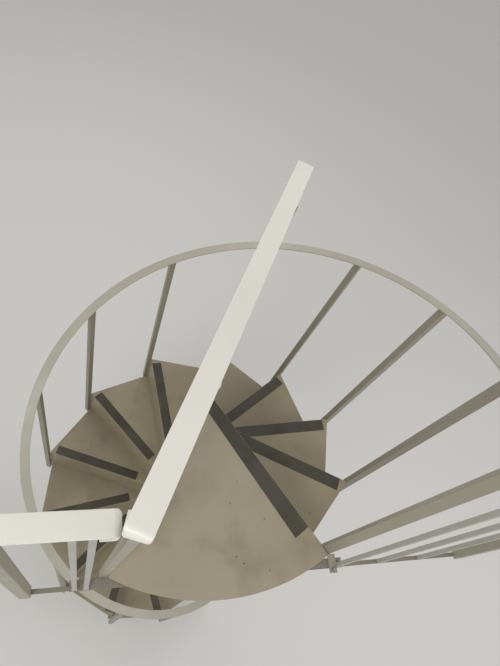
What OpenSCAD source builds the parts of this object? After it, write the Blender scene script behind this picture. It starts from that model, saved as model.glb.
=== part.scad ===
// Spiral staircase of folded steel steps round a tube pole, with a landing plate,
// a helical flat-bar handrail and flat-bar guards beside the landing.
// +Z is up. The origin is the centre of the underside of the base flange.

/* [Flight] */
// Height of one riser
riser = 215; // [195:1:230]
// Turn from one step to the next, in degrees
step_turn = 31; // [28:0.5:31.5]
// Radius of the outer corners of a step
step_radius = 660; // [600:5:750]
// Compass angle of the landing's nose, in degrees from +X
landing_nose_angle = -57.4; // [-64:0.1:-50]
// How far each nose line lies behind the radial line beside it
nose_set_back = 14; // [5:1:20]

/* [Folded steps] */
// Sheet thickness of a step
step_sheet = 3; // [2:0.5:5]
// Outside radius of the folded nose
nose_radius = 6; // [4:0.5:10]
// Height of the turned-down lip at the outer end of a step
step_lip = 30; // [20:1:60]
// How far a step runs on behind the riser that stands on it
rear_tuck = 12; // [4:1:25]

/* [Pole] */
// Outer diameter of the pole tube
pole_d = 76; // [60:1:114]
// Wall of the pole tube
pole_wall = 4; // [3:0.5:6]
// How far the pole rises above the landing
pole_rise = 32; // [20:1:80]
// Thickness of the pole's cap
cap_t = 4; // [3:0.5:8]
// Diameter of the base flange
flange_d = 260; // [220:5:360]
// Thickness of the base flange
flange_t = 10; // [8:1:16]
// Pitch circle of the flange bolts
flange_pcd = 200; // [170:5:300]
// Diameter of a flange bolt hole
flange_hole_d = 14; // [11:1:18]
// Height of the stiffening fins on the flange
fin_h = 70; // [40:5:120]
// Thickness of a stiffening fin
fin_t = 6; // [4:1:8]

/* [Landing] */
// Radius of the landing's round edge
landing_radius = 690; // [680:5:740]
// Sheet thickness of the landing
landing_sheet = 4; // [3:0.5:6]
// Height of the turned-down lip along the landing's left side
landing_lip = 40; // [30:1:80]
// How far the landing's round edge reaches past the middle of the bar along the floor's edge
floor_bearing = 74; // [60:1:85]
// Width of the flat bar along the floor's edge
floor_bar_w = 30; // [28:1:34]
// Thickness of the flat bars along the floor's edge
floor_bar_t = 4; // [3:0.5:6]
// Width of the lug that fixes the newel to the floor
lug_w = 24; // [16:1:30]
// Thickness of the lug
lug_t = 6; // [4:0.5:8]
// How far the lug runs out past the middle of the floor bar
lug_reach = 30; // [28:1:45]
// Diameter of the screw hole in the lug
lug_hole_d = 7; // [5:0.5:9]

/* [Handrail] */
// Width of the flat bar of every rail
rail_w = 40; // [36:1:50]
// Thickness of the flat bar of every rail
rail_t = 5; // [4:0.5:6]
// Height of the handrail's top above the nose of a step
handrail_h = 943; // [850:1:1050]
// How far the handrail's middle line lies outside the steps' outer corners
rail_outset = 6; // [0:1:12]
// Length of the handrail past the radial line of the landing's nose
rail_end = 18; // [14:1:40]
// Width of a square baluster tube
baluster_w = 25; // [20:1:28]
// Wall of a baluster tube
baluster_wall = 1.5; // [1:0.25:3]
// How far a baluster reaches behind the face of the riser beside it
baluster_lap = 3.5; // [1:0.5:6]

/* [Guards] */
// Width of a square post tube
post_w = 30; // [26:1:34]
// Wall of a post tube
post_wall = 2; // [1.5:0.25:4]
// Width of a square guard bar
bar_w = 13; // [10:0.5:14]
// Height of the side guards' rail tops above the landing
side_rail_h = 900; // [850:1:950]
// Height of the landing guard's rail top at the end beside the floor
guard_high = 1000; // [970:1:1050]
// Height of the landing guard's rail top at its free end
guard_low = 900; // [850:1:960]
// Compass angle of the landing guard, in degrees
guard_angle = 64.1; // [63:0.1:65]
// Distance of the landing guard's line from the pole's axis
guard_offset = 23; // [18:1:26]
// How far the landing guard's rail runs on past the floor bar's middle line
guard_run_on = 48; // [40:1:60]
// Reach of the landing guard's rail past the pole's axis
guard_overhang = 183; // [100:1:220]
// Width of the square tubes of the stub post on the pole and of the corner post
stub_w = 20; // [16:1:24]
// Outside diameter of a curled rail end
curl_d = 26; // [20:1:28]
// Length that a curled end covers, from its tip to the end of its turned-back leg
curl_leg = 30; // [26:1:38]
// Number of bars below the landing guard's rail
guard_bar_count = 4; // [3:1:5]
// Distance of the corner post's middle from the left guard's tip
corner_inset = 9; // [6:1:10]
// How far the left guard's curled tip lies past the landing guard's line
left_tip_gap = 31; // [28:1:36]
// Distance of the left guard's end post from the curled tip
left_bay = 195; // [160:1:240]
// How far the right guard's curled tip lies before the landing's nose line
right_tip_gap = 31; // [28:1:36]
// Spacing of the right guard's bars
bar_pitch = 153; // [120:1:160]
// Spacing of the pair of bars at the left guard's tip
pair_pitch = 31; // [20:1:45]

/* [Hidden] */

$fn = 64;
// Steps between the lower floor and the landing
step_count = 12;
// Room left at a welded joint
weld_gap = 0.3;
// Radius that clears the pole
pole_clear_r = pole_d / 2 + weld_gap;
// Level of the landing's walking surface
landing_z = riser * (step_count + 1);
// Level of the upper floor, on which the floor bar lies
floor_z = landing_z - landing_sheet - floor_bar_t;
// Distance from the pole's axis to the middle of the floor bar
floor_bar_y = landing_radius - floor_bearing;
// Overhang of the pole's cap past the tube
cap_lip = 1;
// Blunt width of a fin's top and foot
fin_land = 8;
// Length of the floor bar past its outermost foot
bar_end_margin = 8;
// Distance of the side guards' bars from the floor bar's outer edge
side_inset = 2;
// Least length of the lug past the floor bar's inner edge
lug_lap = 10;
// Colours as the photo shows them
paint = [0.80, 0.76, 0.66];
paint_light = [0.93, 0.91, 0.84];
paint_dull = [0.62, 0.58, 0.49];

// Compass angle and walking level of step k, counted down from the landing
function nose_angle(k) = landing_nose_angle + k * step_turn;
function walk_z(k) = landing_z - k * riser;
// Turns a flat point about the pole's axis
function turned(p, a) = [p[0] * cos(a) - p[1] * sin(a), p[0] * sin(a) + p[1] * cos(a)];
// Point at distance r from the axis on a line parallel to the local X axis at height y
function on_line(r, y) = [sqrt(r * r - y * y), y];

// Local Y of a step's rear edge, seen from the step above it
rear_y = -nose_set_back - step_sheet - rear_tuck;
// Outer corners of a step, and the direction of its outer side from the rear to the nose
nose_corner = on_line(step_radius, -nose_set_back);
rear_corner = turned(on_line(step_radius, rear_y), -step_turn);
outer_side = (nose_corner - rear_corner) / norm(nose_corner - rear_corner);
// Outline of a step seen from above, from the radial line in front of its nose to its tucked
// rear edge
step_outline = [
    [0, 0],
    nose_corner + outer_side * nose_set_back / outer_side[1],
    rear_corner,
    turned([0, rear_y], -step_turn)
];
// Radius of the handrail's middle line, and its length from one step to the next seen from above
handrail_radius = step_radius + rail_outset;
rail_run = handrail_radius * step_turn * PI / 180;
// Fall of the handrail for each millimetre along its middle line, seen from above
rail_fall = riser / rail_run;
rail_slope = atan(rail_fall);
// Middle of a baluster, which stands against the outer end of a riser
baluster_x = step_radius + baluster_w / 2 + weld_gap;
baluster_y = -nose_set_back - baluster_lap + baluster_w / 2;
// Step numbers at which the handrail ends: past the newel, and where its lower end curls under
rail_top_k = -rail_end / rail_run;
rail_foot_k = step_count + (baluster_y + baluster_w / 2 + weld_gap
    + (curl_leg - curl_d / 2) * cos(rail_slope) + curl_d * sin(rail_slope)) / rail_run;
// Middle of the newel, clear of the steps' outer corners
newel_x = step_radius + post_w / 2 + weld_gap;
newel_y = -nose_set_back + post_w / 2 + weld_gap;
// Line of the side guards, on the floor bar's outer half
side_y = -floor_bar_y - floor_bar_w / 2 + bar_w / 2 + side_inset;
// Foot level of a side guard's bars and level of its rail's underside
side_foot = floor_z + floor_bar_t;
side_under = landing_z + side_rail_h - rail_t - weld_gap;
// Ends of the landing guard's line and of the landing's nose line beside the floor bar
guard_run = (floor_bar_y + guard_offset * cos(guard_angle)) / sin(guard_angle);
guard_end_x = -guard_run * cos(guard_angle) - guard_offset * sin(guard_angle);
nose_end_x = (floor_bar_y * cos(landing_nose_angle) - nose_set_back) / -sin(landing_nose_angle);
// Curled tips of the side guards
left_tip_x = guard_end_x - left_tip_gap;
right_tip_x = nose_end_x - right_tip_gap;
// First bar beside a curled tip, from the tip
first_bar = curl_leg + bar_w / 2 + weld_gap;
// Ends of the floor bar
floor_bar_left = left_tip_x - first_bar - pair_pitch - bar_w / 2 - bar_end_margin;
floor_bar_right = right_tip_x + first_bar + bar_w / 2 + bar_end_margin;
// Middle of the corner post's foot, beside the floor bar's inner edge
corner_foot = [left_tip_x + corner_inset, -floor_bar_y + floor_bar_w / 2 + stub_w / 2 + weld_gap];
// Middles of the side guards' end posts
left_post_x = left_tip_x - left_bay;
right_post_x = right_tip_x + first_bar + 3 * bar_pitch;
// Reach of the landing guard's rail towards the floor, its length and its slope
guard_reach = guard_run + guard_run_on;
guard_len = guard_reach + guard_overhang;
guard_tilt = atan2(guard_high - guard_low, guard_len);
// Distance of the landing's left edge from the guard's line
edge_margin = bar_w;

// Puts children in the frame of step k: X along the nose, Y down the flight
module at_step(k) {
    translate([0, 0, walk_z(k)])
        rotate(nose_angle(k))
            children();
}

// Puts children in the landing guard's frame: X along its line towards the free end
module at_guard() {
    translate([0, 0, landing_z])
        rotate(guard_angle)
            translate([0, guard_offset, 0])
                children();
}

// Puts children in the frame of the landing guard's rail, whose top is Z = 0
module at_guard_rail() {
    at_guard()
        translate([-guard_reach, 0, guard_high])
            rotate([0, guard_tilt, 0])
                children();
}

// Folded section across the nose, in the Y and Z of the step, with a round nose
module folded_section(depth, drop, sheet) {
    difference() {
        union() {
            translate([-depth, -sheet])
                square([depth - nose_radius, sheet]);
            translate([-sheet, -drop])
                square([sheet, drop - nose_radius]);
            translate([-nose_radius, -nose_radius])
                intersection() {
                    circle(nose_radius);
                    square(nose_radius);
                }
        }
        translate([-nose_radius, -nose_radius])
            circle(nose_radius - sheet);
    }
}

// Sheet folded along the nose, the tread above and the riser below it, cut to the outline
// that the first child gives, with the lip that a second child may add
module folded_sheet(drop, sheet, reach) {
    intersection() {
        translate([0, 0, -drop])
            linear_extrude(drop)
                children(0);
        union() {
            translate([0, -nose_set_back, 0])
                rotate([90, 0, 90])
                    linear_extrude(reach)
                        folded_section(reach * 2, drop, sheet);
            if ($children > 1)
                children(1);
        }
    }
}

// Turned-down lip along the outer side of a step, from past its rear edge into its riser
module step_side_lip() {
    run = norm(nose_corner - rear_corner);
    translate([rear_corner[0], rear_corner[1], -step_lip])
        rotate(atan2(outer_side[1], outer_side[0]))
            translate([-step_sheet, -step_sheet, 0])
                cube([run + step_sheet / 2, 2 * step_sheet, step_lip]);
}

module step(k) {
    color(paint)
        at_step(k)
            difference() {
                folded_sheet(riser, step_sheet, 2 * step_radius) {
                    polygon(step_outline);
                    step_side_lip();
                }
                translate([0, 0, -riser - 1])
                    cylinder(h = riser + 2, r = pole_clear_r);
                // the lowest riser stands on the base flange
                translate([0, 0, -walk_z(k) - 1])
                    cylinder(h = flange_t + weld_gap + 1, r = flange_d / 2 + weld_gap);
            }
}

// Landing seen from above, in the frame of its nose
module landing_outline() {
    intersection() {
        circle(landing_radius, $fn = 180);
        translate([0, -2 * landing_radius])
            square(2 * landing_radius);
        rotate(guard_angle - landing_nose_angle)
            translate([-2 * landing_radius, guard_offset + edge_margin - 2 * landing_radius])
                square([4 * landing_radius, 2 * landing_radius]);
    }
}

module landing_plate() {
    color(paint)
        difference() {
            union() {
                at_step(0)
                    folded_sheet(riser, landing_sheet, landing_radius)
                        landing_outline();
                // lip along the left side, between the pole and the floor
                at_guard()
                    translate([-floor_bar_y + floor_bar_w, edge_margin - landing_sheet, -landing_lip])
                        cube([floor_bar_y - floor_bar_w, landing_sheet, landing_lip]);
            }
            translate([0, 0, landing_z - riser - 1])
                cylinder(h = riser + 2, r = pole_clear_r);
        }
}

module base_flange() {
    fin_top = pole_clear_r + fin_land;
    fin_foot = (flange_pcd - flange_hole_d) / 2 - fin_t * 2;
    color(paint_dull)
        difference() {
            union() {
                cylinder(h = flange_t, d = flange_d);
                for (a = [45:90:315])
                    rotate([90, 0, a])
                        translate([0, 0, -fin_t / 2])
                            linear_extrude(fin_t)
                                polygon([[pole_clear_r, flange_t / 2], [fin_foot, flange_t / 2],
                                    [fin_foot, flange_t + fin_land],
                                    [fin_top, flange_t + fin_h], [pole_clear_r, flange_t + fin_h]]);
            }
            for (a = [0:90:270])
                rotate(a)
                    translate([flange_pcd / 2, 0, -1])
                        cylinder(h = flange_t + 2, d = flange_hole_d);
        }
}

module centre_pole() {
    tube_h = landing_z + pole_rise - flange_t;
    color(paint)
        translate([0, 0, flange_t])
            difference() {
                cylinder(h = tube_h, d = pole_d);
                translate([0, 0, -1])
                    cylinder(h = tube_h + 2, d = pole_d - 2 * pole_wall);
            }
}

module pole_cap() {
    color(paint_light)
        translate([0, 0, landing_z + pole_rise])
            cylinder(h = cap_t, d = pole_d + 2 * cap_lip);
}

// Upright square tube from z0 to z1 on its own axis, its top cut to a slope along Y
module upright(w, wall, z0, z1, slope) {
    difference() {
        rotate([90, 0, 90])
            translate([0, 0, -w / 2])
                linear_extrude(w)
                    polygon([[-w / 2, z0], [w / 2, z0],
                        [w / 2, z1 + slope * w / 2], [-w / 2, z1 - slope * w / 2]]);
        if (wall > 0)
            translate([wall - w / 2, wall - w / 2, z0 - w])
                cube([w - 2 * wall, w - 2 * wall, z1 - z0 + 2 * w]);
    }
}

// Baluster against the outer end of step k's riser, from the lower edge of the next step's lip
// or the ground up to the handrail
module baluster(k) {
    foot = max(-riser - step_lip, -walk_z(k));
    top = handrail_h - rail_t - weld_gap - rail_fall * baluster_y;
    color(paint_dull)
        at_step(k)
            translate([baluster_x, baluster_y, 0])
                upright(baluster_w, baluster_wall, foot, top, -rail_fall);
}

// Newel at the landing's right corner, where the handrail starts
module top_newel() {
    top = handrail_h - rail_t - weld_gap - rail_fall * newel_y;
    color(paint)
        at_step(0)
            translate([newel_x, newel_y, 0])
                upright(post_w, post_wall, -riser, top, -rail_fall);
}

// Flat bar swept down the helix from step number k0 to k1, its width held level
module helical_bar(k0, k1) {
    n = ceil((k1 - k0) * 6);
    section = [[handrail_radius - rail_w / 2, -rail_t], [handrail_radius + rail_w / 2, -rail_t],
        [handrail_radius + rail_w / 2, 0], [handrail_radius - rail_w / 2, 0]];
    points = [for (i = [0:n]) let (k = k0 + (k1 - k0) * i / n, a = nose_angle(k))
        for (c = section)
            [c[0] * cos(a), c[0] * sin(a), walk_z(k) + handrail_h + c[1]]];
    sides = [for (i = [0:n - 1]) for (j = [0:3])
        let (a = 4 * i + j, b = 4 * i + (j + 1) % 4)
            each [[a, a + 4, b + 4], [a, b + 4, b]]];
    ends = [[0, 1, 2, 3], [4 * n + 3, 4 * n + 2, 4 * n + 1, 4 * n]];
    color(paint)
        polyhedron(points, concat(sides, ends));
}

// Flat bar along +X with its top at z = 0, whose ends curl under and turn back
module curled_bar(length, near, far) {
    r = curl_d / 2;
    rotate([90, 0, 0])
        translate([0, 0, -rail_w / 2])
            linear_extrude(rail_w) {
                translate([near ? r : 0, -rail_t])
                    square([length - (near ? r : 0) - (far ? r : 0), rail_t]);
                if (near)
                    curl_section(r);
                if (far)
                    translate([length, 0])
                        mirror([1, 0])
                            curl_section(r);
            }
}

// Half ring and turned-back leg of a curled end, whose tip is at x = 0
module curl_section(r) {
    translate([r, -r])
        difference() {
            circle(r);
            circle(r - rail_t);
            translate([0, -2 * r])
                square(4 * r);
        }
    translate([r, -curl_d])
        square([curl_leg - r, rail_t]);
}

// Curled lower end of the handrail, cut upright where it meets the helical bar
module handrail_curl() {
    color(paint)
        at_step(rail_foot_k)
            translate([handrail_radius, 0, handrail_h])
                difference() {
                    rotate([0, rail_slope, 90])
                        translate([curl_d / 2, rail_w / 2, 0])
                            rotate([90, 0, 0])
                                linear_extrude(rail_w)
                                    mirror([1, 0])
                                        curl_section(curl_d / 2);
                    translate([-rail_w, weld_gap - rail_t * 2, -rail_t * 1.5])
                        cube([2 * rail_w, rail_t * 2, rail_t * 3]);
                }
}

module landing_guard_rail() {
    color(paint_light)
        at_guard_rail()
            curled_bar(guard_len / cos(guard_tilt), true, true);
}

// Height of the landing guard's rail underside at distance s along its line
function guard_under(s) = guard_high - (s + guard_reach) * tan(guard_tilt)
    - rail_t / cos(guard_tilt) - weld_gap;

module landing_guard_bars() {
    first = -guard_reach + curl_leg + bar_w * 2;
    bay = -first / (guard_bar_count + 1);
    color(paint_dull)
        for (i = [1:guard_bar_count])
            at_guard()
                translate([first + i * bay, 0, 0])
                    rotate(-90)
                        upright(bar_w, 0, 0, guard_under(first + i * bay), -tan(guard_tilt));
}

module pole_stub_post() {
    color(paint)
        at_guard()
            translate([0, -guard_offset / 2, 0])
                rotate(-90)
                    upright(stub_w, baluster_wall, pole_rise + cap_t + weld_gap,
                        guard_under(0), -tan(guard_tilt));
}

// Post beside the landing's left corner, leaning out to the end of the landing guard's rail
module corner_post() {
    top = turned([-guard_reach + curl_leg / 2 + stub_w / 4, guard_offset], guard_angle);
    lean = top - corner_foot;
    rise = guard_high - curl_d;
    color(paint)
        translate([corner_foot[0], corner_foot[1], landing_z])
            difference() {
                rotate([-atan2(lean[1], rise), atan2(lean[0], rise), 0])
                    upright(stub_w, post_wall, -2 * landing_lip, rise + 2 * post_w, 0);
                translate([-2 * post_w, -2 * post_w, -4 * landing_lip])
                    cube([4 * post_w, 4 * post_w, 3 * landing_lip]);
                translate([-corner_foot[0], -corner_foot[1], -landing_z])
                    at_guard_rail()
                        translate([-4 * post_w, -3 * post_w, -curl_d - weld_gap])
                            cube([8 * post_w, 6 * post_w, 6 * post_w]);
            }
}

module floor_bar() {
    color(paint_dull)
        translate([floor_bar_left, -floor_bar_y - floor_bar_w / 2, floor_z])
            cube([floor_bar_right - floor_bar_left, floor_bar_w, floor_bar_t]);
}

// Lug over the floor bar, between the landing and the first guard bar, which runs back to the
// newel's corner, and at least a little past the floor bar's inner edge
module newel_lug() {
    newel_corner = turned([newel_x + post_w / 2 + weld_gap, newel_y - post_w / 2 - weld_gap],
        landing_nose_angle);
    lug_right = right_tip_x + first_bar - bar_w / 2 - weld_gap;
    front = -floor_bar_y - lug_reach;
    rear = max(newel_corner[1], -floor_bar_y + floor_bar_w / 2 + lug_lap);
    color(paint)
        difference() {
            translate([lug_right - lug_w, front, side_foot])
                cube([lug_w, rear - front, lug_t]);
            translate([0, 0, floor_z])
                cylinder(h = 2 * lug_t + floor_bar_t, r = landing_radius + weld_gap, $fn = 180);
            at_step(0)
                translate([newel_x, newel_y, 0])
                    cube(post_w + weld_gap, center = true);
            translate([lug_right - lug_w / 2, front + lug_hole_d, floor_z])
                cylinder(h = 2 * lug_t + floor_bar_t, d = lug_hole_d);
        }
}

// Narrow flat bars that join the floor bar to the side guards' end posts
module foot_bars() {
    post_clear = post_w / 2 + weld_gap;
    color(paint_dull)
        for (ends = [[left_post_x + post_clear, floor_bar_left - weld_gap],
                [floor_bar_right + weld_gap, right_post_x - post_clear]])
            translate([ends[0], side_y - bar_w / 2, floor_z])
                cube([ends[1] - ends[0], bar_w, floor_bar_t]);
}

module left_guard_rail() {
    tail = left_post_x - post_w / 2;
    color(paint_light)
        translate([tail, side_y, landing_z + side_rail_h])
            curled_bar(left_tip_x - tail, false, true);
}

module right_guard_rail() {
    tail = right_post_x + post_w / 2;
    color(paint_light)
        translate([right_tip_x, side_y, landing_z + side_rail_h])
            curled_bar(tail - right_tip_x, true, false);
}

// A pair of bars beside the left guard's tip, and evenly spaced bars along the right guard
module side_guard_bars() {
    left = left_tip_x - first_bar;
    right = right_tip_x + first_bar;
    color(paint_dull)
        for (x = [left, left - pair_pitch, right, right + bar_pitch, right + 2 * bar_pitch])
            translate([x, side_y, 0])
                upright(bar_w, 0, side_foot, side_under, 0);
}

module end_posts() {
    color(paint)
        for (x = [left_post_x, right_post_x])
            translate([x, side_y, 0])
                upright(post_w, post_wall, floor_z, side_under, 0);
}

base_flange();
centre_pole();
pole_cap();
landing_plate();
step(12);  // step_1
step(11);  // step_2
step(10);  // step_3
step(9);  // step_4
step(8);  // step_5
step(7);  // step_6
step(6);  // step_7
step(5);  // step_8
step(4);  // step_9
step(3);  // step_10
step(2);  // step_11
step(1);  // step_12
baluster(12);  // baluster_1
baluster(11);  // baluster_2
baluster(10);  // baluster_3
baluster(9);  // baluster_4
baluster(8);  // baluster_5
baluster(7);  // baluster_6
baluster(6);  // baluster_7
baluster(5);  // baluster_8
baluster(4);  // baluster_9
baluster(3);  // baluster_10
baluster(2);  // baluster_11
baluster(1);  // baluster_12
top_newel();
helical_bar(9, rail_foot_k);  // handrail_bottom
helical_bar(6, 9);  // handrail_low
helical_bar(3, 6);  // handrail_high
helical_bar(rail_top_k, 3);  // handrail_top
handrail_curl();
floor_bar();
foot_bars();
newel_lug();
corner_post();
landing_guard_rail();
landing_guard_bars();
pole_stub_post();
left_guard_rail();
right_guard_rail();
side_guard_bars();
end_posts();
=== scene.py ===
import math
import random

import bmesh
import bpy
from bpy.props import FloatProperty, FloatVectorProperty, IntProperty, PointerProperty
from mathutils import Matrix, Vector


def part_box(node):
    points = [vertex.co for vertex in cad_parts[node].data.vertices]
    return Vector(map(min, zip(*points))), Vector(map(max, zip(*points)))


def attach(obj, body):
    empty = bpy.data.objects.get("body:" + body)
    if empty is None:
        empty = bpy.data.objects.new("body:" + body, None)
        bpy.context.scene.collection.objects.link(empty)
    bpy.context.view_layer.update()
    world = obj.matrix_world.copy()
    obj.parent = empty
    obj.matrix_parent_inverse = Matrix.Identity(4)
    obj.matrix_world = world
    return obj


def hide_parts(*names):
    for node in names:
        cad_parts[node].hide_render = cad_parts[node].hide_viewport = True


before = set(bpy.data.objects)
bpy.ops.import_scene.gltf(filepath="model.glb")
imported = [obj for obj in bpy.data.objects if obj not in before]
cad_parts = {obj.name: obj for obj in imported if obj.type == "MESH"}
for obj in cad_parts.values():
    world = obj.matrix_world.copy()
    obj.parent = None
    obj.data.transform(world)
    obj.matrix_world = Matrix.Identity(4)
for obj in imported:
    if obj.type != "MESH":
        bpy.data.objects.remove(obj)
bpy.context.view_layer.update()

bl_info = {
    "name": "Spiral staircase dresser",
    "version": (1, 0, 0),
    "blender": (4, 5, 0),
    "location": "3D View > Sidebar > Stair",
    "description": "Models and paints a folded-steel spiral staircase round its frame",
    "category": "Object",
}

STEP_COUNT = 12
LANDING_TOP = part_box("landing_plate")[1].z
RISER = LANDING_TOP / (STEP_COUNT + 1)
POLE_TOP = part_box("centre_pole")[1].z
POLE_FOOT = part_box("centre_pole")[0].z
POLE_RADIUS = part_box("centre_pole")[1].x
FLOOR_BAR_LOW, FLOOR_BAR_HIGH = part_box("floor_bar")
# How far a piece's box may differ from the box of the nodes that it stands for
SEAT_TOLERANCE = 0.004
# Distance of the outer screws from the floor bar's ends
SCREW_MARGIN = 0.006
# Middles of the inner screws along the floor bar
INNER_SCREWS = (-0.366, 0.339)
# Radius of a screw's head, how far it stands proud and the depth of its drive
SCREW_SIZE = 0.0045
SCREW_PROUD = 0.0006
SCREW_DRIVE = 0.0005
# A nut's rims turn by more than this angle, and its upright edges by less
RIM_TURN = 1.2
# Distance of the corner post's middle from the left guard's tip
CORNER_INSET = 0.009
# How far short of the pole's axis the lip on the landing's left side ends
LIP_SHORT = 0.0005
# How far a step's sheet runs into the pole, under its weld
POLE_LAP = 0.001
# Facets of a sheet's fold, of a tape's, of a curled end's half turn and of the whole handrail
FOLD_STEPS = 6
TAPE_STEPS = 4
CURL_STEPS = 18
HELIX_STEPS = 196
# Lap of the handrail's curled end on the winding bar
CURL_LAP = 0.001
# Radii of the weld beads
STUB_WELD = 0.0012
BAR_WELD = 0.0018
TUBE_WELD = 0.0022
RISER_WELD = 0.0024
CORNER_WELD = 0.0026
PLATE_WELD = 0.0028
FLANGE_WELD = 0.0030
# How far below the pole's top the weld of its cap lies
CAP_WELD_DROP = 0.0012
# Distance of the lug's weld from its corner
LUG_WELD_INSET = 0.002
# How far a weld's ripples stray from their line, and the length of an arc's straight pieces
WELD_WOBBLE = 0.0004
WELD_CHORD = 0.010
# Starts of a riser's welds to the tread below, from the pole's axis, and their length
FOOT_WELDS = (0.12, 0.35, 0.58)
FOOT_WELD_LENGTH = 0.03
# Shares of a riser's height between which its end is welded to the baluster
BALUSTER_WELDS = ((0.12, 0.28), (0.62, 0.78))
# Radii of the upright edges of bars, thin tubes and posts
BAR_CORNER = 0.0010
TUBE_CORNER = 0.0018
POST_CORNER = 0.0025
# Roundings of cut edges, of the steps' and the rails' edges, of the cap's and of small parts
CUT_EDGE = 0.0008
STEP_EDGE = 0.0007
RAIL_EDGE = 0.0011
CAP_EDGE = 0.0015
FINE_EDGE = 0.0002
# Faces of the winding bar below this area, in square metres, are its rounded corners
CORNER_AREA = 0.00012
X, Y, Z = Vector((1, 0, 0)), Vector((0, 1, 0)), Vector((0, 0, 1))


# Sizes and colours that a user may change

def length(name, default, description):
    """A size in metres, as a property."""
    return FloatProperty(name=name, default=default, description=description,
                         subtype="DISTANCE", unit="LENGTH", precision=4)


def angle(name, degrees, description):
    """An angle as a property, given in degrees."""
    return FloatProperty(name=name, default=math.radians(degrees), description=description,
                         subtype="ANGLE", unit="ROTATION")


def colour(name, red, green, blue, description):
    """A colour as a property, given as it looks on a screen, from 0 to 255."""
    return FloatVectorProperty(name=name, default=[linear(c / 255) for c in (red, green, blue)],
                               description=description, subtype="COLOR", size=3, min=0, max=1)


def linear(value):
    """The linear value of a screen value."""
    return value / 12.92 if value <= 0.04045 else ((value + 0.055) / 1.055) ** 2.4


class StairFlightSizes(bpy.types.PropertyGroup):
    """Sizes of the steps, the landing and the tapes on them."""
    step_turn: angle("Step turn", 31, "Turn from one step to the next")
    nose_angle: angle("Landing nose", -57.4, "Compass angle of the landing's nose")
    step_radius: length("Step radius", 0.660, "Radius of a step's outer corners")
    nose_set_back: length("Nose set-back", 0.014, "Distance of a nose behind its radial line")
    nose_radius: length("Nose radius", 0.006, "Outside radius of the folded nose")
    step_sheet: length("Step sheet", 0.003, "Thickness of a step's sheet")
    step_lip: length("Step lip", 0.030, "Height of a step's outer lip")
    rear_tuck: length("Rear tuck", 0.012, "How far a step runs on behind the riser on it")
    landing_sheet: length("Landing sheet", 0.004, "Thickness of the landing plate")
    landing_radius: length("Landing radius", 0.690, "Radius of the landing's round edge")
    landing_lip: length("Landing lip", 0.040, "Height of the lip on the landing's left side")
    tape_width: length("Tape width", 0.050, "Width of an anti-slip tape")
    tape_thick: length("Tape thickness", 0.0009, "Thickness of an anti-slip tape")
    tape_corner: length("Tape corner", 0.003, "Rounding of a tape's corners")
    tape_wrap: angle("Tape wrap", 32, "How far a tape runs round the nose")
    tape_near: length("Tape start", 0.137, "Distance of a step's tape from the pole's axis")
    tape_far: length("Tape end", 0.630, "Distance of a tape's outer end from the pole's axis")
    landing_tape_near: length("Landing tape start", 0.058, "Start of the landing's tape")
    landing_tape_far: length("Landing tape end", 0.585, "End of the landing's tape")
    landing_tape_skew: angle("Landing tape skew", 1.6, "How far that tape's rear edge runs askew")
    landing_tape_true: length("Landing tape true", 0.24, "Where that tape has its nominal width")


class StairRailSizes(bpy.types.PropertyGroup):
    """Sizes of the rails, posts and bars."""
    rail_width: length("Rail width", 0.040, "Width of the flat bars")
    rail_thick: length("Rail thickness", 0.005, "Thickness of the flat bars")
    rail_corner: length("Rail corner", 0.0012, "Rounding of the winding bar's long edges")
    handrail_radius: length("Handrail radius", 0.666, "Radius of the handrail's middle line")
    handrail_height: length("Handrail height", 0.943, "Height of the handrail over a nose")
    rail_end: length("Handrail end", 0.018, "Handrail past the landing's nose line")
    baluster_width: length("Baluster width", 0.025, "Width of a baluster tube")
    baluster_lap: length("Baluster lap", 0.0035, "Reach of a baluster behind the riser's face")
    tube_wall: length("Tube wall", 0.0015, "Wall of the thin square tubes")
    stub_width: length("Stub width", 0.020, "Width of the stub post and the corner post")
    post_width: length("Post width", 0.030, "Width of a post tube")
    post_wall: length("Post wall", 0.002, "Wall of a post tube")
    bar_width: length("Bar width", 0.013, "Width of a guard bar")
    curl: length("Curl", 0.026, "Outside diameter of a curled rail end")
    curl_leg: length("Curl leg", 0.030, "Length that a curled end covers")
    tip_round: length("Tip rounding", 0.007, "Rounding of a curled end's corners in plan")
    near_leg: length("Near leg", 0.038, "Length covered by the landing guard's curl at the floor")
    leg_skew: angle("Leg skew", 10.4, "How far that curl's turned-back leg sits askew")
    guard_turn: angle("Guard direction", 64.1, "Compass angle of the landing guard")
    guard_offset: length("Guard offset", 0.023, "Distance of the landing guard from the axis")
    guard_reach: length("Guard reach", 0.744, "Reach of the landing guard towards the floor")
    guard_overhang: length("Guard overhang", 0.183, "Reach of the landing guard past the axis")
    guard_high: length("Guard height", 1.000, "Rail height at the end beside the floor")
    guard_low: length("Guard free end", 0.900, "Rail height at the free end")
    guard_bars: IntProperty(name="Guard bars", default=4, min=1,
                            description="Bars below the landing guard's rail")
    bar_pitch: length("Bar pitch", 0.153, "Spacing of the right guard's bars")
    pair_pitch: length("Pair pitch", 0.031, "Spacing of the two bars at the left guard's tip")
    weld_gap: length("Weld gap", 0.0003, "Room left at a welded joint")


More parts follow.
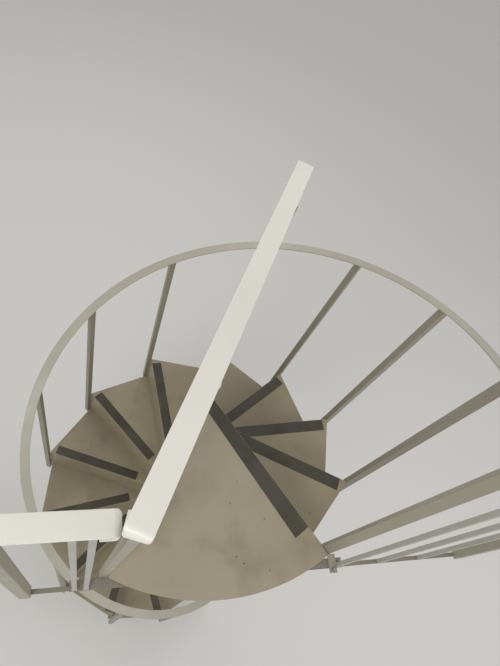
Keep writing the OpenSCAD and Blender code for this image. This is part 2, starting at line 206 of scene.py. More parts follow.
class StairFootSizes(bpy.types.PropertyGroup):
    """Sizes of the base flange, its fins and the bolts."""
    pitch_radius: length("Bolt circle", 0.100, "Radius of the circle of the flange bolts")
    hole_radius: length("Bolt hole", 0.007, "Radius of a flange bolt's hole")
    fin_thick: length("Fin thickness", 0.006, "Thickness of a stiffening fin")
    fin_land: length("Fin land", 0.008, "Blunt width of a fin's top and foot")
    fin_reach: length("Fin reach", 0.081, "Distance of a fin's foot from the pole's axis")
    bolt_size: length("Bolt size", 0.012, "Radius of a flange bolt's washer")
    bolt_stud: length("Bolt stud", 0.020, "Height of a flange bolt's stud end")
    lug_bolt: length("Lug bolt", 0.0075, "Radius of the washer on the lug")
    lug_stud: length("Lug stud", 0.009, "Height of the stud end on the lug")
    lug_margin: length("Lug margin", 0.010, "Distance of the lug's bolt from its front edge")


class StairFinish(bpy.types.PropertyGroup):
    """Colours of the paints and tapes."""
    rail_paint: colour("Rail paint", 222, 220, 211, "Cream paint of the flat guard rails")
    # The handrail's colour is the rails' cream paint set darker: painted shade
    handrail_paint: colour("Handrail paint", 167, 164, 149, "Paint of the winding handrail")
    baluster_paint: colour("Baluster paint", 142, 136, 120, "Paint of the balusters")
    post_paint: colour("Post paint", 150, 146, 129, "Paint of the posts")
    bar_paint: colour("Bar paint", 168, 167, 158, "Paint of the guard bars")
    landing_paint: colour("Landing paint", 152, 143, 123, "Paint of the landing plate")
    # The steps' colour is the landing's paint set darker: painted shade
    step_paint: colour("Step paint", 141, 132, 109, "Paint of the steps")
    pole_paint: colour("Pole paint", 168, 161, 143, "Paint of the pole and its cap")
    flange_paint: colour("Flange paint", 132, 126, 109, "Paint of the base flange")
    floor_bar_paint: colour("Floor bar paint", 118, 114, 101, "Thin paint of the floor bar")
    tape_grit: colour("Tape grit", 60, 57, 46, "Grit of the anti-slip tapes")
    bolt_zinc: colour("Bolt zinc", 150, 150, 146, "Zinc of the bolts and screws")
    stain: colour("Stain", 112, 101, 76, "Soft stains in the paint of landing and steps")
    dirt: colour("Dirt", 92, 80, 60, "Dirt that lies on the paint")
    rust: colour("Rust", 88, 62, 44, "Rust at chips and scratches")
    floor: colour("Studio floor", 214, 213, 210, "Plain floor under the staircase")


class StairStage(bpy.types.PropertyGroup):
    """The camera and the lamps."""
    camera_place: FloatVectorProperty(name="Camera place", default=(-0.408, -0.767, 4.473),
                                      description="Where the camera is", subtype="TRANSLATION")
    camera_look: FloatVectorProperty(name="Camera direction", default=(0.2884, 0.4885, -0.8235),
                                     description="Where the camera looks", subtype="DIRECTION")
    camera_right: FloatVectorProperty(name="Camera right", default=(0.9563, -0.1045, 0.2730),
                                      description="Right-hand side of the picture",
                                      subtype="DIRECTION")
    camera_lens: FloatProperty(name="Lens", default=28.16, description="Focal length",
                               subtype="DISTANCE_CAMERA", unit="CAMERA")
    world_light: FloatProperty(name="World light", default=0.56,
                               description="Strength of the even light from all round")
    floor_size: length("Floor size", 30.0, "Side of the plain floor")
    floor_drop: length("Floor drop", 0.0005, "Depth of that floor below the flange's underside")


# Node materials

class Shader:
    """Builds one material's nodes with short calls."""

    def __init__(self, name):
        self.material = bpy.data.materials.new(name)
        self.material.use_nodes = True
        self.tree = self.material.node_tree
        self.tree.nodes.clear()
        self.place = self.node("ShaderNodeTexCoord").outputs["Object"]
        self.surface = self.node("ShaderNodeBsdfPrincipled")
        output = self.node("ShaderNodeOutputMaterial")
        self.link(self.surface.outputs["BSDF"], output.inputs["Surface"])

    def node(self, kind, **settings):
        """Adds a node with these settings."""
        made = self.tree.nodes.new(kind)
        for key, value in settings.items():
            setattr(made, key, value)
        return made

    def link(self, source, target):
        self.tree.links.new(source, target)

    def put(self, source, target):
        """Links a socket, or sets a plain value."""
        if isinstance(source, bpy.types.NodeSocket):
            self.link(source, target)
        else:
            target.default_value = source

    def noise(self, scale, detail=3.0, rough=0.5):
        """Noise on the object's own coordinates, from 0 to 1."""
        made = self.node("ShaderNodeTexNoise")
        made.inputs["Scale"].default_value = scale
        made.inputs["Detail"].default_value = detail
        made.inputs["Roughness"].default_value = rough
        self.link(self.place, made.inputs["Vector"])
        return made.outputs["Fac"]

    def cells(self, scale):
        """Distance to the nearest of scattered points."""
        made = self.node("ShaderNodeTexVoronoi", feature="F1")
        made.inputs["Scale"].default_value = scale
        self.link(self.place, made.inputs["Vector"])
        return made.outputs["Distance"]

    def span(self, value, low, high, to_low=0.0, to_high=1.0):
        """Maps low..high to to_low..to_high with soft ends."""
        made = self.node("ShaderNodeMapRange", interpolation_type="SMOOTHSTEP")
        self.put(value, made.inputs["Value"])
        for name, number in (("From Min", low), ("From Max", high),
                             ("To Min", to_low), ("To Max", to_high)):
            made.inputs[name].default_value = number
        return made.outputs["Result"]

    def math(self, operation, first, second):
        """Sum or product of two values, kept between 0 and 1."""
        made = self.node("ShaderNodeMath", operation=operation, use_clamp=True)
        self.put(first, made.inputs[0])
        self.put(second, made.inputs[1])
        return made.outputs[0]

    def blend(self, factor, first, second):
        """Mixes two colours by a factor."""
        made = self.node("ShaderNodeMix", data_type="RGBA", blend_type="MIX")
        self.put(factor, made.inputs[0])
        self.put(first, made.inputs[6])
        self.put(second, made.inputs[7])
        return made.outputs[2]

    def facing_up(self):
        """1 on faces that look up, on which dirt lies."""
        normal = self.node("ShaderNodeNewGeometry").outputs["Normal"]
        split = self.node("ShaderNodeSeparateXYZ")
        self.link(normal, split.inputs["Vector"])
        return self.span(split.outputs["Z"], 0.55, 0.95)

    def edge_wear(self):
        """1 on the rounded edges that wear_out() marks."""
        made = self.node("ShaderNodeAttribute", attribute_name="edge_wear",
                         attribute_type="GEOMETRY")
        return made.outputs["Fac"]

    def bump(self, height, distance, strength, under=None):
        """Relief from a height, on top of another relief."""
        made = self.node("ShaderNodeBump")
        made.inputs["Distance"].default_value = distance
        made.inputs["Strength"].default_value = strength
        self.link(height, made.inputs["Height"])
        if under is not None:
            self.link(under, made.inputs["Normal"])
        return made.outputs["Normal"]


def rgba(value, shade=1.0):
    """A colour property as a socket's value."""
    return (value[0] * shade, value[1] * shade, value[2] * shade, 1.0)


def painted_steel(name, base, finish, stains, specks, wear, rough):
    """Satin paint on steel: faintly uneven tone, soft stains, dark specks and worn edges."""
    s = Shader(name)
    tone = s.noise(2.3, 3, 0.5)
    colour_now = s.blend(s.span(tone, 0.32, 0.68), rgba(base, 0.965), rgba(base, 1.03))
    film = s.math("MULTIPLY", s.span(s.noise(6.0, 3, 0.5), 0.42, 0.74), stains)
    colour_now = s.blend(film, colour_now, rgba(finish.stain))
    cloud = s.math("MULTIPLY", s.span(s.noise(12.0, 3, 0.5), 0.50, 0.80), s.facing_up())
    dusty = s.math("MULTIPLY", cloud, stains * 0.6)
    colour_now = s.blend(dusty, colour_now, rgba(finish.dirt))
    spots = s.span(s.cells(30.0), 0.050, 0.140, 1.0, 0.0)
    some = s.span(s.noise(5.0, 3), 0.50, 0.60)
    spotted = s.math("MULTIPLY", s.math("MULTIPLY", spots, some), specks)
    colour_now = s.blend(spotted, colour_now, rgba(finish.rust))
    worn = s.math("MULTIPLY", s.edge_wear(), s.span(s.noise(46.0, 4, 0.7), 0.54, 0.66))
    worn = s.math("MULTIPLY", worn, wear)
    colour_now = s.blend(worn, colour_now, rgba(finish.rust, 0.9))
    s.link(colour_now, s.surface.inputs["Base Color"])
    gloss = s.math("ADD", s.span(s.noise(14.0, 3), 0.3, 0.7, rough - 0.04, rough + 0.05),
                   s.math("MULTIPLY", film, 0.4))
    s.link(s.math("ADD", gloss, s.math("MULTIPLY", spotted, 0.3)), s.surface.inputs["Roughness"])
    peel = s.bump(s.noise(260.0, 2), 0.0005, 0.20)
    waves = s.bump(s.noise(18.0, 2), 0.0014, 0.18, peel)
    s.link(s.bump(s.math("ADD", spotted, worn), 0.0006, -0.4, waves), s.surface.inputs["Normal"])
    s.surface.inputs["IOR"].default_value = 1.48
    return s.material


def grit_tape(name, finish):
    """Anti-slip tape: mineral grit in dark resin, greyed where feet fall."""
    s = Shader(name)
    grains = s.cells(900.0)
    base = s.blend(s.span(grains, 0.15, 0.55), rgba(finish.tape_grit, 1.5),
                   rgba(finish.tape_grit, 0.62))
    trodden = s.span(s.noise(4.0, 2, 0.5), 0.35, 0.70, 0.0, 0.14)
    base = s.blend(trodden, base, rgba(finish.stain, 0.8))
    worn = s.math("MULTIPLY", s.edge_wear(), s.span(s.noise(60.0, 3), 0.45, 0.6, 0.0, 0.35))
    base = s.blend(worn, base, rgba(finish.stain))
    s.link(base, s.surface.inputs["Base Color"])
    s.link(s.span(s.noise(11.0, 3), 0.3, 0.7, 0.50, 0.78), s.surface.inputs["Roughness"])
    s.link(s.bump(grains, 0.0005, 0.8), s.surface.inputs["Normal"])
    return s.material


def zinc(name, finish):
    """Zinc-plated bolts, dulled in patches."""
    s = Shader(name)
    s.link(s.blend(s.span(s.noise(60.0, 4), 0.35, 0.7), rgba(finish.bolt_zinc),
                   rgba(finish.bolt_zinc, 0.6)), s.surface.inputs["Base Color"])
    s.surface.inputs["Metallic"].default_value = 0.9
    s.link(s.span(s.noise(90.0, 3), 0.3, 0.7, 0.32, 0.55), s.surface.inputs["Roughness"])
    s.link(s.bump(s.noise(300.0, 2), 0.0003, 0.3), s.surface.inputs["Normal"])
    return s.material


# Material name, colour, stains, specks, wear of the edges and roughness of each paint
PAINTS = {
    "rail": ("cream_rail_paint", "rail_paint", 0.02, 0.0, 0.15, 0.30),
    # The handrail's darker cream is painted shade on the rails' paint
    "handrail": ("handrail_paint", "handrail_paint", 0.06, 0.1, 0.2, 0.40),
    "baluster": ("baluster_paint", "baluster_paint", 0.06, 0.1, 0.2, 0.40),
    "post": ("post_paint", "post_paint", 0.06, 0.1, 0.2, 0.40),
    "bar": ("guard_bar_paint", "bar_paint", 0.04, 0.1, 0.15, 0.36),
    "landing": ("landing_paint", "landing_paint", 0.26, 0.95, 0.3, 0.40),
    # The steps' darker tone is painted shade on the landing's paint
    "step": ("step_paint", "step_paint", 0.26, 0.7, 0.3, 0.40),
    "pole": ("pole_paint", "pole_paint", 0.08, 0.1, 0.3, 0.40),
    "flange": ("flange_paint", "flange_paint", 0.3, 0.5, 0.5, 0.40),
    "floor_bar": ("floor_bar_paint", "floor_bar_paint", 0.15, 0.3, 0.4, 0.40),
}
MATERIALS = {}


def finish_of(key):
    """The material of that name, made on first use."""
    finish = bpy.context.scene.stair_finish
    if key in MATERIALS:
        return MATERIALS[key]
    if key == "tape":
        made = grit_tape("anti_slip_grit", finish)
    elif key == "zinc":
        made = zinc("bolt_zinc", finish)
    else:
        name, paint, stains, specks, wear, rough = PAINTS[key]
        made = painted_steel(name, getattr(finish, paint), finish, stains, specks, wear, rough)
    MATERIALS[key] = made
    return made


# Modelling helpers

def seat_check(piece, nodes, tolerance):
    """Stops the script when a piece's box strays from the nodes that it stands for."""
    corners = [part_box(node) for node in nodes]
    for axis in range(3):
        low = min(c[0][axis] for c in corners)
        high = max(c[1][axis] for c in corners)
        mine = [v.co[axis] for v in piece.data.vertices]
        if abs(min(mine) - low) > tolerance or abs(max(mine) - high) > tolerance:
            raise RuntimeError(f"{piece.name} leaves its place along axis {axis}: "
                               f"{min(mine):.4f}..{max(mine):.4f} against {low:.4f}..{high:.4f}")


def finish_piece(name, bm, material, nodes=(), tolerance=SEAT_TOLERANCE,
                 smooth=math.radians(40)):
    """Turns a bmesh into a piece that rides on the staircase and stands for the nodes."""
    bmesh.ops.recalc_face_normals(bm, faces=bm.faces)
    for face in bm.faces:
        face.smooth = True
    for edge in bm.edges:
        edge.smooth = len(edge.link_faces) == 2 and edge.calc_face_angle(0) < smooth
    mesh = bpy.data.meshes.new(name)
    bm.to_mesh(mesh)
    bm.free()
    mesh.materials.append(finish_of(material))
    piece = bpy.data.objects.new(name, mesh)
    bpy.context.scene.collection.objects.link(piece)
    weigh = piece.modifiers.new("flat faces stay flat", "WEIGHTED_NORMAL")
    weigh.keep_sharp = True
    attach(piece, "root")
    if nodes:
        seat_check(piece, nodes, tolerance)
        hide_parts(*nodes)
    return piece


def wear_mark(bm):
    """The value on the faces' corners that tells the paint where it wears."""
    layers = bm.loops.layers.float
    return layers.get("edge_wear") or layers.new("edge_wear")


def wear_out(faces, mark):
    """Marks faces as worn."""
    for face in faces:
        for loop in face.loops:
            loop[mark] = 1.0


def round_off(bm, geom, width, segments, affect="EDGES"):
    """Rounds edges or corners, and returns the new faces."""
    return bmesh.ops.bevel(bm, geom=geom, offset=width, affect=affect, segments=segments,
                           profile=0.5, material=-1, clamp_overlap=True)["faces"]


def soften(bm, width=CUT_EDGE, segments=2, sharp=math.radians(50)):
    """Rounds the sharp edges, and marks the new faces, where paint wears."""
    mark = wear_mark(bm)
    edges = [e for e in bm.edges if len(e.link_faces) == 2 and e.calc_face_angle(0) > sharp]
    wear_out(round_off(bm, edges, width, segments), mark)


def run_edge(bm, edges, step):
    """Draws a line of edges out along a vector, and returns the new far edges."""
    made = bmesh.ops.extrude_edge_only(bm, edges=edges)["geom"]
    verts = [g for g in made if isinstance(g, bmesh.types.BMVert)]
    bmesh.ops.translate(bm, verts=verts, vec=step)
    return [g for g in made if isinstance(g, bmesh.types.BMEdge)
            and all(v in verts for v in g.verts)]


def bend_edge(bm, edges, centre, axis, turn, steps):
    """Sweeps a line of edges round an axis, and returns the new far edges."""
    verts = list({v for e in edges for v in e.verts})
    made = bmesh.ops.spin(bm, geom=edges + verts, cent=centre, axis=axis, dvec=Vector(),
                          angle=turn, steps=steps, use_merge=False, use_duplicate=False)
    return [g for g in made["geom_last"] if isinstance(g, bmesh.types.BMEdge)]


def thicken(bm, thick, reference, outward):
    """Gives a sheet its thickness on the side away from where the reference face looks."""
    bmesh.ops.recalc_face_normals(bm, faces=bm.faces)
    reference.normal_update()
    if reference.normal.dot(outward) < 0:
        bmesh.ops.reverse_faces(bm, faces=bm.faces)
    bmesh.ops.solidify(bm, geom=bm.faces[:], thickness=thick)


def level(place, height, slope=0.0):
    """A plane across the frame's Z axis, rising along its Y, as a point and a normal."""
    return place @ Vector((0, 0, height)), place.to_3x3() @ Vector((0, -slope, 1))


def square_bar(bm, width, place, low, high, corner=TUBE_CORNER, wall=0.0):
    """A square bar along the frame's Z axis between two planes, or a tube open at its ends."""
    axis = place.to_3x3() @ Z
    known = set(bm.faces)
    rings = []
    for point, normal in (low, high):
        starts = [place @ Vector((x * width / 2, y * width / 2, 0))
                  for x, y in ((-1, -1), (1, -1), (1, 1), (-1, 1))]
        rings.append([bm.verts.new(start + axis * ((point - start).dot(normal) / axis.dot(normal)))
                      for start in starts])
    foot, head = rings
    bm.faces.new(foot[::-1])
    bm.faces.new(head)
    upright = []
    for i in range(4):
        j = (i + 1) % 4
        bm.faces.new((foot[i], foot[j], head[j], head[i]))
        upright.append(bm.edges.get((foot[i], head[i])))
    mark = wear_mark(bm)
    wear_out(round_off(bm, upright, corner, 3), mark)
    if wall:
        bm.normal_update()
        for end in [f for f in bm.faces if f not in known and len(f.verts) > 4]:
            bmesh.ops.inset_region(bm, faces=[end], thickness=wall, use_even_offset=True)
            inward = math.copysign(2 * width, -end.normal.dot(axis))
            sunk = bmesh.ops.extrude_discrete_faces(bm, faces=[end])["faces"][0]
            bmesh.ops.translate(bm, verts=sunk.verts, vec=axis * inward)


def prism(bm, outline, place, low, high):
    """A closed prism over an outline in the frame's XY plane."""
    foot, head = [[bm.verts.new(place @ Vector((x, y, z))) for x, y in outline]
                  for z in (low, high)]
    bm.faces.new(foot[::-1])
    bm.faces.new(head)
    for i in range(len(outline)):
        j = (i + 1) % len(outline)
        bm.faces.new((foot[i], foot[j], head[j], head[i]))


def bolt(bm, place, size, stud):
    """Washer, hexagon nut and stud end, standing on the local XY plane."""
    for sides, radius, low, high in ((40, size, 0.0, size * 0.2),
                                     (6, size * 0.92, size * 0.2, size * 1.05),
                                     (24, size * 0.5, 0.0, stud)):
        made = bmesh.ops.create_cone(bm, cap_ends=True, segments=sides, radius1=radius,
                                     radius2=radius, depth=high - low,
                                     matrix=place @ Matrix.Translation((0, 0, (high + low) / 2)))
        rims = {e for v in made["verts"] for e in v.link_edges if e.calc_face_angle(0) > RIM_TURN}
        round_off(bm, list(rims), size * 0.06, 1)


def screw(bm, place):
    """A sunk screw head with its drive, just proud of the surface it holds."""
    middle = Matrix.Translation(place + Z * SCREW_PROUD / 2)
    bmesh.ops.create_cone(bm, cap_ends=True, segments=28, radius1=SCREW_SIZE,
                          radius2=SCREW_SIZE * 0.9, depth=SCREW_PROUD, matrix=middle)
    bm.normal_update()
    head = [f for f in bm.faces if (f.calc_center_median() - place).length < SCREW_SIZE]
    top = max(head, key=lambda f: f.calc_center_median().z)
    bmesh.ops.inset_region(bm, faces=[top], thickness=SCREW_SIZE / 2)
    drive = bmesh.ops.extrude_discrete_faces(bm, faces=[top])["faces"][0]
    bmesh.ops.translate(bm, verts=drive.verts, vec=Z * -SCREW_DRIVE)


def weld(bm, start, end, size=PLATE_WELD, pitch=0.0034, seed=1):
    """A row of overlapping weld ripples from start to end."""
    rng = random.Random(seed)
    run = end - start
    count = max(2, round(run.length / pitch))
    lie = run.to_track_quat("X", "Z").to_matrix().to_4x4()
    for i in range(count + 1):
        wobble = Vector([rng.uniform(-WELD_WOBBLE, WELD_WOBBLE) for _ in range(3)])
        big = size * rng.uniform(0.88, 1.12)
        place = Matrix.Translation(start + run * i / count + wobble) @ lie
        bmesh.ops.create_icosphere(bm, subdivisions=2, radius=big,
                                   matrix=place @ Matrix.Diagonal((0.75, 1, 1, 1)))


def weld_ring(bm, width, place, height, slope=0.0, size=TUBE_WELD):
    """Weld beads round the end of a square bar."""
    half = width / 2
    corners = [place @ Vector((x * half, y * half, height + slope * y * half))
               for x, y in ((-1, -1), (1, -1), (1, 1), (-1, 1))]
    for i in range(4):
        weld(bm, corners[i], corners[(i + 1) % 4], size, size * 1.3, i)


def weld_arc(bm, place, radius, first, last, height, size):
    """Weld beads along a level arc round the frame's Z axis."""
    pieces = math.ceil(abs(last - first) * radius / WELD_CHORD)
    turns = [first + (last - first) * i / pieces for i in range(pieces + 1)]
    points = [place @ Vector((radius * math.cos(a), radius * math.sin(a), height)) for a in turns]
    for i in range(pieces):
        weld(bm, points[i], points[i + 1], size, size * 1.5, i)


def at_step(k):
    """Frame of step k, counted down from the landing: X along the nose, Y down the flight."""
    s = bpy.context.scene.stair_flight
    return (Matrix.Translation((0, 0, LANDING_TOP - k * RISER))
            @ Matrix.Rotation(s.nose_angle + k * s.step_turn, 4, "Z"))


def at_guard():
    """Frame of the landing guard: X along its line towards the free end."""
    r = bpy.context.scene.stair_rails
    return (Matrix.Translation((0, 0, LANDING_TOP)) @ Matrix.Rotation(r.guard_turn, 4, "Z")
            @ Matrix.Translation((0, r.guard_offset, 0)))


def nose_root():
    """Where a nose meets the pole, in its step's frame."""
    back = bpy.context.scene.stair_flight.nose_set_back
    return Vector((math.sqrt(POLE_RADIUS ** 2 - back ** 2), -back, 0))


def step_number(k):
    """The node number of step k: the lowest step is number 1."""
    return STEP_COUNT + 1 - k


def rail_fall():
    """Fall of the handrail for each metre along its middle line, seen from above."""
    s, r = bpy.context.scene.stair_flight, bpy.context.scene.stair_rails
    return RISER / (r.handrail_radius * s.step_turn)


# Operators, one for each piece or group of like pieces

class STAIR_OT_steps(bpy.types.Operator):
    """Models the twelve folded steps"""
    bl_idname = "stair.steps"
    bl_label = "Folded steps"

    def execute(self, context):
        s = context.scene.stair_flight
        for k in range(1, STEP_COUNT + 1):
            bm = bmesh.new()
            fold_y = -s.nose_set_back - s.nose_radius
            rear_y = -s.nose_set_back - s.step_sheet - s.rear_tuck
            back = Matrix.Rotation(-s.step_turn, 4, "Z")
            far = math.sqrt(s.step_radius ** 2 - s.nose_set_back ** 2)
            rear_far = back @ Vector((math.sqrt(s.step_radius ** 2 - rear_y ** 2), rear_y, 0))
            side = (Vector((far, -s.nose_set_back, 0)) - rear_far).normalized()
            fold_far = rear_far + side * ((fold_y - rear_far.y) / side.y)
            near = math.sqrt(POLE_RADIUS ** 2 - fold_y ** 2) - POLE_LAP
            rear_x = math.sqrt(POLE_RADIUS ** 2 - rear_y ** 2) - POLE_LAP
            rear_near = back @ Vector((rear_x, rear_y, 0))
            corners = [bm.verts.new(p) for p in
                       (Vector((near, fold_y, 0)), rear_near, rear_far, fold_far)]
            tread = bm.faces.new(corners)
            nose = bm.edges.get((corners[3], corners[0]))
            outer = bm.edges.get((corners[2], corners[3]))
            folded = bend_edge(bm, [nose], Vector((0, fold_y, -s.nose_radius)), X,
                               -math.pi / 2, FOLD_STEPS)
            run_edge(bm, folded, Vector((0, 0, s.nose_radius - RISER)))
            run_edge(bm, [outer], Vector((0, 0, -s.step_lip)))
            thicken(bm, s.step_sheet, tread, Z)
            soften(bm, STEP_EDGE)
            bmesh.ops.transform(bm, matrix=at_step(k), verts=bm.verts)
            self.welds(bm, s, k, fold_y, rear_y)
            number = step_number(k)
            finish_piece(f"folded_step_{number}", bm, "step", [f"step_{number}"])
        return {"FINISHED"}

    def welds(self, bm, s, k, fold_y, rear_y):
        """Beads between a step, the pole and the tread below."""
        place = at_step(k)
        last = math.asin(rear_y / POLE_RADIUS) - s.step_turn
        weld_arc(bm, place, POLE_RADIUS, math.asin(fold_y / POLE_RADIUS), last, 0.0, TUBE_WELD)
        corner = nose_root()
        foot = max(-RISER, POLE_FOOT - LANDING_TOP + k * RISER)
        weld(bm, place @ (corner - Z * s.nose_radius), place @ (corner + Z * foot), RISER_WELD,
             seed=k)
        if k < STEP_COUNT:
            back = Vector((0, -s.nose_set_back - s.step_sheet, -RISER))
            for x in FOOT_WELDS:
                weld(bm, place @ (back + X * x), place @ (back + X * (x + FOOT_WELD_LENGTH)),
                     seed=k)


class STAIR_OT_tapes(bpy.types.Operator):
    """Lays an anti-slip tape along each nose"""
    bl_idname = "stair.tapes"
    bl_label = "Anti-slip tapes"

    def execute(self, context):
        s = context.scene.stair_flight
        for k in range(STEP_COUNT + 1):
            bm = bmesh.new()
            near, far = ((s.landing_tape_near, s.landing_tape_far) if k == 0
                         else (s.tape_near, s.tape_far))
            fold_y = -s.nose_set_back - s.nose_radius
            start = bm.edges.new([bm.verts.new((x, fold_y, 0)) for x in (near, far)])
            bend_edge(bm, [start], Vector((0, fold_y, -s.nose_radius)), X, -s.tape_wrap,
                      TAPE_STEPS)
            flat = s.tape_width - s.nose_radius * s.tape_wrap
            rear = run_edge(bm, [start], Vector((0, -flat, 0)))
            if k == 0:
                for vert in rear[0].verts:
                    askew = (vert.co.x - s.landing_tape_true) * math.tan(s.landing_tape_skew)
                    vert.co.y -= askew
            ends = [v for v in bm.verts if len(v.link_edges) == 2]
            round_off(bm, ends, s.tape_corner, 3, "VERTICES")
            top = max(bm.faces, key=lambda f: f.calc_area())
            bmesh.ops.recalc_face_normals(bm, faces=bm.faces)
            if top.normal.z > 0:
                bmesh.ops.reverse_faces(bm, faces=bm.faces)
            bmesh.ops.solidify(bm, geom=bm.faces[:], thickness=s.tape_thick)
            soften(bm, FINE_EDGE, 1)
            bmesh.ops.transform(bm, matrix=at_step(k), verts=bm.verts)
            name = "tape_landing" if k == 0 else f"tape_{step_number(k)}"
            finish_piece(name, bm, "tape")
        return {"FINISHED"}


class STAIR_OT_landing(bpy.types.Operator):
    """Models the round-edged landing plate with its fold and lip"""
    bl_idname = "stair.landing"
    bl_label = "Landing plate"

    def execute(self, context):
        s, r = context.scene.stair_flight, context.scene.stair_rails
        bm = bmesh.new()
        bmesh.ops.create_circle(bm, cap_ends=True, segments=300, radius=s.landing_radius)
        fold_y = -s.nose_set_back - s.nose_radius
        edge = Matrix.Rotation(r.guard_turn - s.nose_angle, 4, "Z")
        side_normal = edge @ Y
        margin = r.guard_offset + r.bar_width
        along = edge @ X
        floor_side = (FLOOR_BAR_LOW.y + FLOOR_BAR_HIGH.y) / 2
        lip_start = floor_side + (FLOOR_BAR_HIGH.y - FLOOR_BAR_LOW.y)
        # the nose, the left side, and two cuts across that side where its lip starts and ends
        for place, normal, clear in (
                (Vector((0, fold_y, 0)), Y, True), (side_normal * margin, side_normal, True),
                (along * lip_start, along, False), (along * -LIP_SHORT, along, False)):
            bmesh.ops.bisect_plane(bm, geom=bm.verts[:] + bm.edges[:] + bm.faces[:],
                                   dist=1e-6, plane_co=place, plane_no=normal, clear_outer=clear)
        top = max(bm.faces, key=lambda f: f.calc_area())
        nose = [e for e in bm.edges if len(e.link_faces) == 1
                and all(abs(v.co.y - fold_y) < 1e-5 for v in e.verts)
                and max(v.co.x for v in e.verts) > POLE_RADIUS * 0.5]
        side = [e for e in bm.edges if len(e.link_faces) == 1
                and all(abs(v.co.dot(side_normal) - margin) < 1e-5 for v in e.verts)
                and floor_side < (e.verts[0].co + e.verts[1].co).dot(along) / 2 < 0]
        side = [max(side, key=lambda e: e.calc_length())]
        folded = bend_edge(bm, nose, Vector((0, fold_y, -s.nose_radius)), X, -math.pi / 2,
                           FOLD_STEPS)
        run_edge(bm, folded, Vector((0, 0, s.nose_radius - RISER)))
        run_edge(bm, side, Vector((0, 0, -s.landing_lip)))
        thicken(bm, s.landing_sheet, top, Z)
        soften(bm)
        bmesh.ops.transform(bm, matrix=at_step(0), verts=bm.verts)
        corner = nose_root()
        weld(bm, at_step(0) @ (corner - Z * s.nose_radius), at_step(0) @ (corner - Z * RISER),
             RISER_WELD)
        first = math.asin(fold_y / POLE_RADIUS)
        last = r.guard_turn - s.nose_angle - math.pi - math.asin(margin / POLE_RADIUS)
        weld_arc(bm, at_step(0), POLE_RADIUS, first, last, 0.0, TUBE_WELD)
        # its inner corner runs on inside the pole
        finish_piece("landing_top", bm, "landing", ["landing_plate"],
                     POLE_RADIUS / 2)
        return {"FINISHED"}


class STAIR_OT_pole(bpy.types.Operator):
    """Models the pole with its cap and its bolted flange"""
    bl_idname = "stair.pole"
    bl_label = "Pole and flange"

    def execute(self, context):
        for name, node, key, slot, rounding in (
                ("pole_tube", "centre_pole", "pole", "pole_paint", CUT_EDGE),
                ("pole_cap_disc", "pole_cap", "rail", "rail_paint", CAP_EDGE)):
            low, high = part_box(node)
            bm = bmesh.new()
            bmesh.ops.create_cone(bm, cap_ends=True, segments=96, radius1=high.x,
                                  radius2=high.x, depth=high.z - low.z,
                                  matrix=Matrix.Translation((0, 0, (high.z + low.z) / 2)))
            soften(bm, rounding, 3)
            finish_piece(name, bm, key, [node])
        bm = bmesh.new()
        weld_arc(bm, Matrix(), POLE_RADIUS, 0, 2 * math.pi, POLE_TOP - CAP_WELD_DROP, BAR_WELD)
        finish_piece("cap_weld", bm, "pole")
        self.flange(context.scene.stair_foot)
        return {"FINISHED"}

    def flange(self, f):
        """The base flange with its holes, fins, welds and bolts."""
        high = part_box("base_flange")[1]
        quarters = [Matrix.Rotation(i * math.pi / 2, 4, "Z") for i in range(4)]
        bm = bmesh.new()
        lift = Matrix.Translation((0, 0, POLE_FOOT))
        bmesh.ops.create_circle(bm, segments=144, radius=high.x, matrix=lift)
        for turn in quarters:
            bmesh.ops.create_circle(bm, segments=48, radius=f.hole_radius,
                                    matrix=lift @ turn @ Matrix.Translation((f.pitch_radius, 0, 0)))
        bmesh.ops.triangle_fill(bm, use_beauty=True, edges=bm.edges[:], normal=Z)
        thicken(bm, POLE_FOOT, max(bm.faces, key=lambda face: face.calc_area()), Z)
        start, thick = POLE_RADIUS, f.fin_thick / 2
        outline = ((start, POLE_FOOT), (f.fin_reach, POLE_FOOT),
                   (f.fin_reach, POLE_FOOT + f.fin_land),
                   (start + f.fin_land, high.z), (start, high.z))
        diagonal = Matrix.Rotation(math.pi / 4, 4, "Z")
        for turn in quarters:
            upright = turn @ diagonal @ Matrix.Rotation(math.pi / 2, 4, "X")
            prism(bm, outline, upright, -thick, thick)
        soften(bm)
        for turn in quarters:
            turn = turn @ diagonal
            for y in (-thick, thick):
                weld(bm, turn @ Vector((start, y, POLE_FOOT)),
                     turn @ Vector((f.fin_reach, y, POLE_FOOT)))
                weld(bm, turn @ Vector((start, y, POLE_FOOT)), turn @ Vector((start, y, high.z)))
        weld_arc(bm, Matrix(), POLE_RADIUS, 0, 2 * math.pi, POLE_FOOT, FLANGE_WELD)
        finish_piece("bolted_base_flange", bm, "flange", ["base_flange"])
        bm = bmesh.new()
        for turn in quarters:
            bolt(bm, turn @ Matrix.Translation((f.pitch_radius, 0, POLE_FOOT)), f.bolt_size,
                 f.bolt_stud)
        soften(bm, FINE_EDGE, 1)
        finish_piece("flange_bolts", bm, "zinc")


